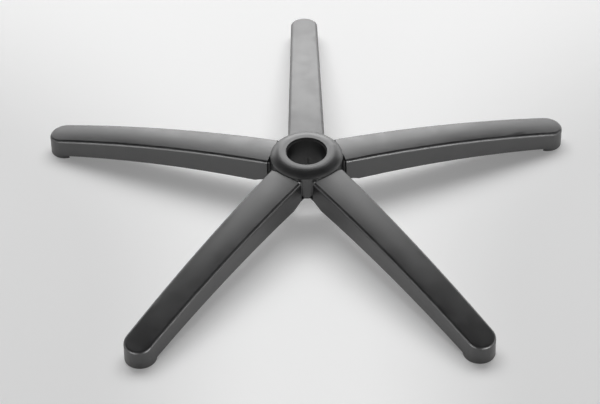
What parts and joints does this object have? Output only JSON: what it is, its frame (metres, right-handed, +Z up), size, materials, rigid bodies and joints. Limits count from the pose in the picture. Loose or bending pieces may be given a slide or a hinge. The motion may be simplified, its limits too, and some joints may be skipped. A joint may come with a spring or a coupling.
{
  "type": "office chair star base",
  "caption": "Moulded five-star office chair base: arched hollow arms run from a domed hub with a tapered column socket to round feet bored for caster stems.",
  "frame": {"origin": "middle of the column socket's rim, on top of the hub", "axes": "+Z up along the column's axis; +Y along one arm, the one at the back of the picture"},
  "size_m": [0.6566, 0.6264, 0.0775],
  "materials": {
    "nylon": "satin"
  },
  "bodies": {
    "root": {"star_base": "nylon"}
  },
  "joints": []
}
